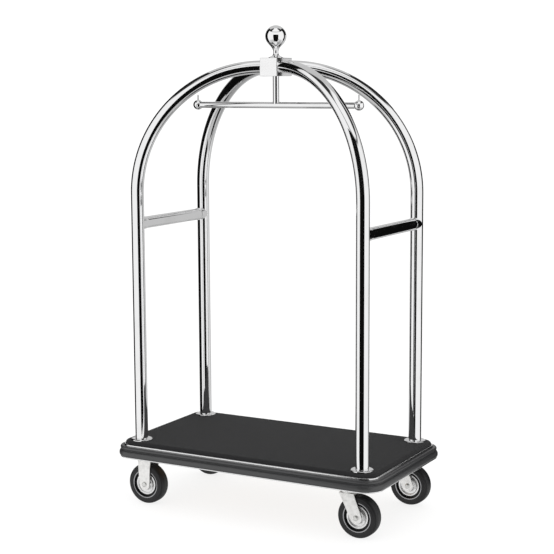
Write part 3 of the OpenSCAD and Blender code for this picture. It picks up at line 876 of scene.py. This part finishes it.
def addRim(row, side, centre, place):
    # fromBore and fromEdge hold (share of the web, distance back from the rim's face)
    node = f"rim_{row}_{side}"
    inner = extent(node).z / 2
    face = extent(node).y / 2
    bore = extent(f"bearing_{row}_{side}").z / 2
    disc = inner - rimShape["ringWidth"] - rimShape["grooveWidth"]
    web = disc - bore
    ring = disc + rimShape["grooveWidth"]
    depth = rimShape["grooveDepth"]
    soft = rimShape["ringRound"]
    half = [(bore + share * web, face - back) for share, back in rimShape["fromBore"]]
    half += [(disc - share * web, face - back) for share, back in rimShape["fromEdge"]]
    half += [(disc, face - depth), (ring, face - depth), (ring, face - soft),
             (ring + soft, face), (inner, face)]
    bm = bmesh.new()
    latheInto(bm, bothFaces(half), place, rimShape["turnSteps"], closed=True)
    steel = pressedRim(f"rimSteel_{row}_{side}", centre, rimShape["greyFrom"])
    plate = addPiece(f"disc_{row}_{side}", bm, steel, f"wheel_{row}_{side}", [node],
                     sharp=28)
    edge = rimShape["grooveEdge"]
    darkenGroove(plate.data, centre, (disc - edge, ring + edge))


bearingShape = {
    "shaft": 0.0061,
    "sleeveWall": 0.0036,
    "sleeveRound": 0.0004,
    "sleeveSlope": 0.001,
    "raceWidth": 0.0018,
    "raceSlope": 0.0006,
    "raceRise": 0.0002,
    "sealDepth": 0.0006,
    "turnSteps": 64,
}


def addBearing(row, side, place):
    node = f"bearing_{row}_{side}"
    bore = extent(node).z / 2
    sleeve = extent(node).y / 2
    seat = extent(f"rim_{row}_{side}").y / 2 - rimShape["seatBack"]
    shaft = bearingShape["shaft"]
    wall = shaft + bearingShape["sleeveWall"]
    soft = bearingShape["sleeveRound"]
    race = bore - bearingShape["raceWidth"]
    rise = seat + bearingShape["raceRise"]
    seal = seat - bearingShape["sealDepth"]
    half = [
        (shaft, sleeve), (wall - soft, sleeve), (wall, sleeve - soft), (wall, rise),
        (wall + bearingShape["sleeveSlope"], seal), (race - bearingShape["raceSlope"], seal),
        (race, rise), (bore, rise)]
    bm = bmesh.new()
    latheInto(bm, bothFaces(half), place, bearingShape["turnSteps"], closed=True)
    addPiece(f"hub_bearing_{row}_{side}", bm, "plain", f"wheel_{row}_{side}",
             [node], sharp=28)


def addWheel(row, side):
    centre = middle(f"tyre_{row}_{side}")
    place = lyingOnY(*centre)
    addTyre(row, side, place)
    addRim(row, side, centre, place)
    addBearing(row, side, place)


casterShape = {
    "joinGap": 2e-6,
    "flatAngle": 0.5,
    "bevelSteps": 3,
    "plateEdge": 0.0008,
    "nutEdge": 0.0006,
    "boltEdge": 0.0004,
}


def refined(node, name, finish, body, soft, sharp=30):
    # merges a CAD node's copy and rounds its edges
    bm = bmesh.new()
    bm.from_mesh(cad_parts[node].data)
    bmesh.ops.remove_doubles(bm, verts=bm.verts, dist=casterShape["joinGap"])
    bmesh.ops.dissolve_limit(
        bm, angle_limit=math.radians(casterShape["flatAngle"]), use_dissolve_boundaries=False,
        verts=bm.verts, edges=bm.edges, delimit={"NORMAL"})
    piece = addPiece(name, bm, finish, body, [node], sharp)
    bevel = piece.modifiers.new("edges", "BEVEL")
    bevel.width = soft
    bevel.segments = casterShape["bevelSteps"]
    bevel.limit_method = "ANGLE"
    bevel.angle_limit = math.radians(sharp)
    bevel.harden_normals = True
    bevel.use_clamp_overlap = True
    return piece


def addCasters():
    plate = casterShape["plateEdge"]
    nut = casterShape["nutEdge"]
    bolt = casterShape["boltEdge"]
    for row in rows:
        turning = f"swivel_{row}"
        refined(f"fixed_fork_{row}", f"fork_left_{row}", "zinc", "cart", plate)
        refined(f"swivel_fork_{row}", f"fork_right_{row}", "zinc", turning, plate)
        refined(f"swivel_top_plate_{row}", f"top_plate_{row}", "zinc", "cart", plate)
        refined(f"swivel_axle_{row}", f"axle_{row}", "fastener", turning, nut)
        refined(f"swivel_axle_nut_{row}", f"nut_{row}", "fastener", turning, nut)
    refined("fixed_axles", "axles_left", "fastener", "cart", nut)
    refined("fixed_axle_nuts", "nuts_left", "fastener", "cart", nut)
    refined("caster_bolts", "plate_bolts", "fastener", "cart", bolt)
    refined("caster_nuts", "plate_nuts", "fastener", "cart", bolt)
    refined("king_pins", "king_bolts", "fastener", "cart", plate)
    refined("post_bolts", "foot_bolts", "fastener", "cart", nut)
    print("casters fitted")


nodeFinishes = {
    "plywood": ["deck_board"],
    "paint": ["deck_frame", "deck_crossmembers"],
    "fastener": ["deck_screws", "post_washers", "swivel_bearing_balls", "finial_stud"],
    "plain": ["post_foot_plugs"],
    "oxide": ["crown_grub_screws"],
}


def dressNodes():
    # CAD nodes whose shape stays, with their finish
    for finish, nodes in nodeFinishes.items():
        for node in nodes:
            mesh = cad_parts[node].data
            mesh.materials.clear()
            mesh.materials.append(finishes[finish])


studio = {
    "floorSize": 60,
    "floorShade": 0.22,
    "floorGlow": 0.82,
    "backWall": 0.6,
    "fill": 1.1,
    "flags": {
        "front_flag": ((-0.6, 1.13), (0.6, 1.13), 0.0, 2.15),
        "left_flag": ((-1.05, -0.1), (-1.05, -1.5), 0.0, 3.2),
        "right_flag": ((1.1, -0.05), (0.8, -0.33), 0.0, 1.6),
        "ball_flag": ((1.05, -0.1), (1.05, -0.52), 1.2, 3.2),
        "high_flag": ((1.05, -0.52), (1.05, -1.5), 1.98, 3.2),
    },
    "softboxes": {
        "overhead": ((0.4, -0.6, 4.0), (0, 0, 0.4), 3.0, 12),
        "front": ((1.2, -4.0, 2.4), (0, 0, 0.5), 2.5, 8),
    },
}


def addFloor():
    material, recipe = newMaterial("paleFloor")
    shade = studio["floorShade"]
    cloud = recipe.noise(recipe.objectPlace(), 0.7, 2)
    tone = recipe.blendColours(cloud, (shade, shade, shade, 1), (shade, shade, shade * 0.995, 1))
    finishMaterial(recipe, {
        "Base Color": tone, "Roughness": 0.9, "Specular IOR Level": 0.1,
        "Emission Color": (1, 1, 1, 1), "Emission Strength": studio["floorGlow"]})
    bm = bmesh.new()
    bmesh.ops.create_grid(bm, x_segments=1, y_segments=1, size=studio["floorSize"] / 2)
    mesh = bpy.data.meshes.new("floor")
    bm.to_mesh(mesh)
    bm.free()
    mesh.materials.append(material)
    floor = bpy.data.objects.new("floor", mesh)
    floor.visible_glossy = False
    scene.collection.objects.link(floor)


def cameraAxes():
    turn = math.radians(cameraSet["turn"])
    right = Vector((math.cos(turn), math.sin(turn), 0))
    near = Vector((math.sin(turn), -math.cos(turn), 0))
    return right, near


def addFlag(name, start, end, low, high):
    # black flag that shows only in reflections; start and end are (right, near) of the view
    right, near = cameraAxes()
    bm = bmesh.new()
    foot = [bm.verts.new(right * r + near * n + upAxis * low) for r, n in (start, end)]
    edge = bm.edges.new(foot)
    pull(bm, [edge], (0, 0, high - low))
    mesh = bpy.data.meshes.new(name)
    bm.to_mesh(mesh)
    bm.free()
    mesh.materials.append(finishes["flag"])
    flag = bpy.data.objects.new(name, mesh)
    scene.collection.objects.link(flag)
    flag.visible_camera = False
    flag.visible_diffuse = False
    flag.visible_shadow = False
    flag.visible_transmission = False


def addFlags():
    material, recipe = newMaterial("blackFlag")
    finishMaterial(recipe, {"Base Color": (0.004, 0.004, 0.004, 1), "Roughness": 1.0,
                            "Specular IOR Level": 0.0})
    finishes["flag"] = material
    for name, flag in studio["flags"].items():
        addFlag(name, *flag)


surround = {
    # soft edges in degrees: turns away from the camera's side, and heights above the horizon
    "backTurn": (96, 112),
    "canopyHeight": (42, 47),
    "canopyTurn": (52, 64),
    "gapFoot": (38, 43),
    "gapTop": (74, 80),
    "gapDark": 0.97,
    "lowHeight": (-42, -28),
}


def addSurround():
    # white room that is grey behind the cart, with a bright canopy over the camera
    world = bpy.data.worlds.new("studio")
    scene.world = world
    world.use_nodes = True
    recipe = Recipe(world.node_tree)
    heading = recipe.add("ShaderNodeTexCoord").out("Generated")
    aligned = recipe.add("ShaderNodeVectorRotate", {"rotation_type": "Z_AXIS"}, {
        "Vector": heading, "Angle": math.radians(-cameraSet["turn"])})
    parts = recipe.add("ShaderNodeSeparateXYZ", {}, {0: aligned})
    azimuth = recipe.add("ShaderNodeMath", {"operation": "ARCTAN2"}, {
        0: parts.out("X"), 1: 0 - parts.out("Y")})
    spread = recipe.add("ShaderNodeMath", {"operation": "ABSOLUTE"}, {0: azimuth})
    spread = spread * math.degrees(1)
    height = recipe.add("ShaderNodeMath", {"operation": "ARCSINE"}, {0: parts.out("Z")})
    height = height * math.degrees(1)
    behind = recipe.span(spread, *surround["backTurn"])
    walls = 1 - (1 - studio["backWall"]) * behind
    canopy = recipe.span(height, *surround["canopyHeight"])
    canopy = canopy * recipe.span(spread, *surround["canopyTurn"], 1, 0)
    gap = recipe.span(height, *surround["gapFoot"]) * (1 - behind)
    gap = gap * recipe.span(height, *surround["gapTop"], 1, 0)
    light = walls * (1 - surround["gapDark"] * gap)
    light = recipe.add("ShaderNodeMath", {"operation": "MAXIMUM"}, {0: light, 1: canopy})
    light = light * recipe.span(height, *surround["lowHeight"], studio["backWall"], 1)
    glossy = recipe.add("ShaderNodeLightPath").out("Is Glossy Ray")
    seen = light * glossy + (1 - glossy) * studio["fill"]
    background = recipe.add("ShaderNodeBackground", {}, {"Color": (1, 1, 1, 1), "Strength": seen})
    recipe.add("ShaderNodeOutputWorld", {}, {"Surface": background})


def addSoftbox(name, place, aim, size, power):
    data = bpy.data.lights.new(name, "AREA")
    data.shape = "SQUARE"
    data.size = size
    data.energy = power
    light = bpy.data.objects.new(name, data)
    light.location = place
    light.rotation_euler = (Vector(aim) - Vector(place)).to_track_quat("-Z", "Y").to_euler()
    light.visible_glossy = False
    light.visible_camera = False
    scene.collection.objects.link(light)


def addStudio():
    addFloor()
    addFlags()
    addSurround()
    for name, softbox in studio["softboxes"].items():
        addSoftbox(name, *softbox)
    scene.view_settings.view_transform = "Standard"
    print("studio lit")


addCamera()
makeFinishes()
addCarpet()
addBumper()
addEdgeTrims()
for row in rows:
    for side in sides:
        addPost(row, side)
        addFlange(row, side)
        addWheel(row, side)
print("posts and wheels in place")
for side in sides:
    addRail(side)
addCollars()
addCrownBlock()
addFinial()
addHangingBar()
print("crown and bar in place")
addCasters()
dressNodes()
addStudio()
